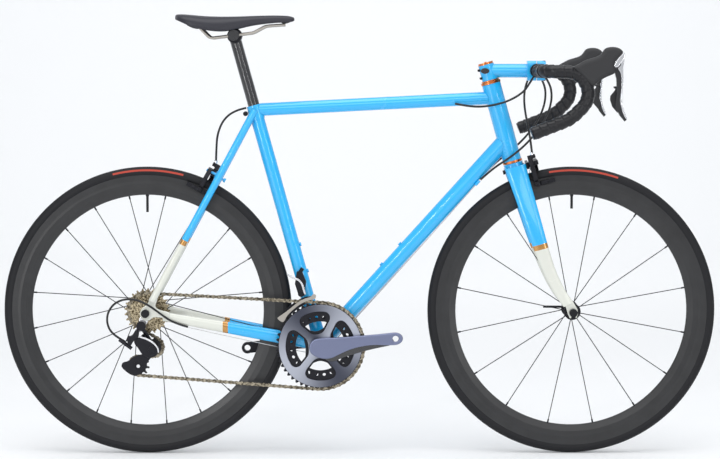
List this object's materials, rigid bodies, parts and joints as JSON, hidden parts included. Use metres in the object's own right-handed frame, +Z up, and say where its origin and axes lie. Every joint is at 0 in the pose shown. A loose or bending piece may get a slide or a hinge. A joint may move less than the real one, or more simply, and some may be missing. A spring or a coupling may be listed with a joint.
{
  "type": "road bicycle",
  "caption": "Lightweight road bicycle with drop bar, deep-section rims, derailleur gears, rim brakes and quick-release wheels, shown without pedals.",
  "frame": {"origin": "on the ground under the middle of the bicycle, midway between the outer ends of the two tyres; at rest both tyres stand on Z = 0", "axes": "+X forward, +Y to the rider's left, +Z up; the chain is on the -Y side"},
  "size_m": [1.658, 0.454, 1.0239],
  "materials": {
    "frame_paint": "gloss",
    "copper": "polished",
    "black_gloss": "gloss",
    "black_matte": "matte",
    "black_metal": "anodised black",
    "gunmetal": "anodised satin",
    "silver": "polished",
    "steel": "brushed",
    "chain_steel": "plated",
    "tyre": "moulded rubber",
    "tube_rubber": "butyl",
    "carbon": "satin carbon",
    "hood_rubber": "matte",
    "tape": "matte wrap",
    "cable_black": "satin",
    "saddle_cover": "smooth",
    "titanium": "satin"
  },
  "bodies": {
    "frame": {"head_tube": "frame_paint", "top_tube": "frame_paint", "down_tube": "frame_paint", "seat_tube": "frame_paint", "bottom_bracket_shell": "frame_paint", "chainstays": "frame_paint", "seatstays": "frame_paint", "dropouts": "frame_paint", "frame_fittings": "frame_paint", "bearing_cups": "copper", "rear_skewer": "silver", "chain": "chain_steel", "rear_cables": "cable_black", "front_housings": "cable_black", "front_derailleur": "black_metal", "rear_derailleur": "black_metal"},
    "fork": {"fork_blades": "frame_paint", "fork_crown": "frame_paint", "headset_rings": "copper", "stem": "frame_paint", "stem_faceplate": "frame_paint", "cockpit_bolts": "black_metal", "handlebar": "black_metal", "bar_tape": "tape", "lever_brackets": "black_matte", "brake_hoods": "hood_rubber", "front_skewer": "silver"},
    "front_wheel": {"front_tyre": "tyre", "front_inner_tube": "tube_rubber", "front_rim": "carbon", "front_spokes": "steel", "front_hub": "black_metal"},
    "rear_wheel": {"rear_tyre": "tyre", "rear_inner_tube": "tube_rubber", "rear_rim": "carbon", "rear_spokes": "steel", "rear_hub": "black_metal"},
    "cassette": {"cassette": "steel"},
    "crank": {"crank_arm_right": "gunmetal", "crank_arm_left": "black_metal", "outer_chainring": "gunmetal", "inner_chainring": "black_metal"},
    "brake_lever_right": {"brake_lever_right": "black_metal"},
    "brake_lever_left": {"brake_lever_left": "black_metal"},
    "shift_paddle_right": {"shift_paddle_right": "black_matte"},
    "shift_paddle_left": {"shift_paddle_left": "black_matte"},
    "front_brake_y_arm": {"front_brake_y_arm": "black_metal"},
    "front_brake_c_arm": {"front_brake_c_arm": "black_metal"},
    "rear_brake_y_arm": {"rear_brake_y_arm": "black_metal"},
    "rear_brake_c_arm": {"rear_brake_c_arm": "black_metal"},
    "seat": {"seatpost": "black_gloss", "saddle_rails": "titanium", "saddle_shell": "black_gloss", "saddle_cover": "saddle_cover"},
    "front_qr_lever": {"front_qr_lever": "black_metal"},
    "rear_qr_lever": {"rear_qr_lever": "black_metal"},
    "fd_cage": {"fd_cage": "silver"},
    "rd_cage": {"rd_cage": "silver"},
    "guide_pulley": {"guide_pulley": "black_matte"},
    "tension_pulley": {"tension_pulley": "black_matte"}
  },
  "joints": [
    {"name": "steering", "type": "hinge", "parent": "frame", "child": "fork", "pos_m": [0.3546, 0, 0.685], "axis": [-0.2689, 0, 0.9632], "range_deg": [-50, 50], "deforming": ["front_housings"]},
    {"name": "front_wheel_spin", "type": "hinge", "parent": "fork", "child": "front_wheel", "pos_m": [0.4935, 0, 0.3355], "axis": [0, 1, 0], "continuous": true},
    {"name": "rear_wheel_spin", "type": "hinge", "parent": "frame", "child": "rear_wheel", "pos_m": [-0.4935, 0, 0.3355], "axis": [0, 1, 0], "continuous": true},
    {"name": "crank_spin", "type": "hinge", "parent": "frame", "child": "crank", "pos_m": [-0.091, 0, 0.257], "axis": [0, 1, 0], "continuous": true, "deforming": ["chain"]},
    {"name": "cassette_spin", "type": "hinge", "parent": "frame", "child": "cassette", "pos_m": [-0.4935, 0, 0.3355], "axis": [0, 1, 0], "continuous": true},
    {"name": "guide_pulley_spin", "type": "hinge", "parent": "rd_cage", "child": "guide_pulley", "pos_m": [-0.4787, -0.03058, 0.2525], "axis": [0, 1, 0], "continuous": true},
    {"name": "tension_pulley_spin", "type": "hinge", "parent": "rd_cage", "child": "tension_pulley", "pos_m": [-0.51389, -0.03058, 0.20894], "axis": [0, 1, 0], "continuous": true},
    {"name": "brake_lever_right_squeeze", "type": "hinge", "parent": "fork", "child": "brake_lever_right", "pos_m": [0.575, -0.21, 0.909], "axis": [0, 1, 0], "range_deg": [0, 18], "stiffness_Nm_per_rad": 1.2},
    {"name": "shift_paddle_right_push", "type": "hinge", "parent": "brake_lever_right", "child": "shift_paddle_right", "pos_m": [0.573, -0.2006, 0.857], "axis": [1, 0, 0], "range_deg": [0, 12], "stiffness_Nm_per_rad": 0.15},
    {"name": "brake_lever_left_squeeze", "type": "hinge", "parent": "fork", "child": "brake_lever_left", "pos_m": [0.575, 0.21, 0.909], "axis": [0, 1, 0], "range_deg": [0, 18], "stiffness_Nm_per_rad": 1.2},
    {"name": "shift_paddle_left_push", "type": "hinge", "parent": "brake_lever_left", "child": "shift_paddle_left", "pos_m": [0.573, 0.2006, 0.857], "axis": [-1, 0, 0], "range_deg": [0, 12], "stiffness_Nm_per_rad": 0.15},
    {"name": "front_brake_y_arm_close", "type": "hinge", "parent": "fork", "child": "front_brake_y_arm", "pos_m": [0.39904, 0, 0.67457], "axis": [0.9632, 0, 0.2689], "range_deg": [0, 1.5]},
    {"name": "front_brake_c_arm_close", "type": "hinge", "parent": "fork", "child": "front_brake_c_arm", "pos_m": [0.4076, 0.019, 0.68111], "axis": [-0.9632, 0, -0.2689], "range_deg": [0, 1.5]},
    {"name": "rear_brake_y_arm_close", "type": "hinge", "parent": "frame", "child": "rear_brake_y_arm", "pos_m": [-0.33992, 0, 0.65258], "axis": [-0.8806, 0, 0.4738], "range_deg": [0, 1.5]},
    {"name": "rear_brake_c_arm_close", "type": "hinge", "parent": "frame", "child": "rear_brake_c_arm", "pos_m": [-0.34682, -0.019, 0.66084], "axis": [0.8806, 0, -0.4738], "range_deg": [0, 1.5]},
    {"name": "seatpost_slide", "type": "slide", "parent": "frame", "child": "seat", "axis": [-0.2672, 0, 0.9636], "range_m": [-0.06, 0.03]},
    {"name": "front_qr_swing", "type": "hinge", "parent": "fork", "child": "front_qr_lever", "pos_m": [0.4935, 0.066, 0.3355], "axis": [0, 0, -1], "range_deg": [0, 150]},
    {"name": "rear_qr_swing", "type": "hinge", "parent": "frame", "child": "rear_qr_lever", "pos_m": [-0.4935, 0.081, 0.3355], "axis": [0, 0, -1], "range_deg": [0, 150]},
    {"name": "fd_trim", "type": "slide", "parent": "frame", "child": "fd_cage", "axis": [0, 1, 0], "range_m": [-0.0008, 0.0008]},
    {"name": "rd_cage_swing", "type": "hinge", "parent": "frame", "child": "rd_cage", "pos_m": [-0.4787, -0.03058, 0.2525], "axis": [0, 1, 0], "range_deg": [-25, 15], "stiffness_Nm_per_rad": 1}
  ],
  "couplings": [
    {"joint": "cassette_spin", "follows": "crank_spin", "ratio": 2.381},
    {"joint": "guide_pulley_spin", "follows": "crank_spin", "ratio": -4.5455},
    {"joint": "tension_pulley_spin", "follows": "crank_spin", "ratio": 4.5455},
    {"joint": "front_brake_y_arm_close", "follows": "brake_lever_left_squeeze", "ratio": 0.08},
    {"joint": "front_brake_c_arm_close", "follows": "brake_lever_left_squeeze", "ratio": 0.08},
    {"joint": "rear_brake_y_arm_close", "follows": "brake_lever_right_squeeze", "ratio": 0.08},
    {"joint": "rear_brake_c_arm_close", "follows": "brake_lever_right_squeeze", "ratio": 0.08}
  ]
}
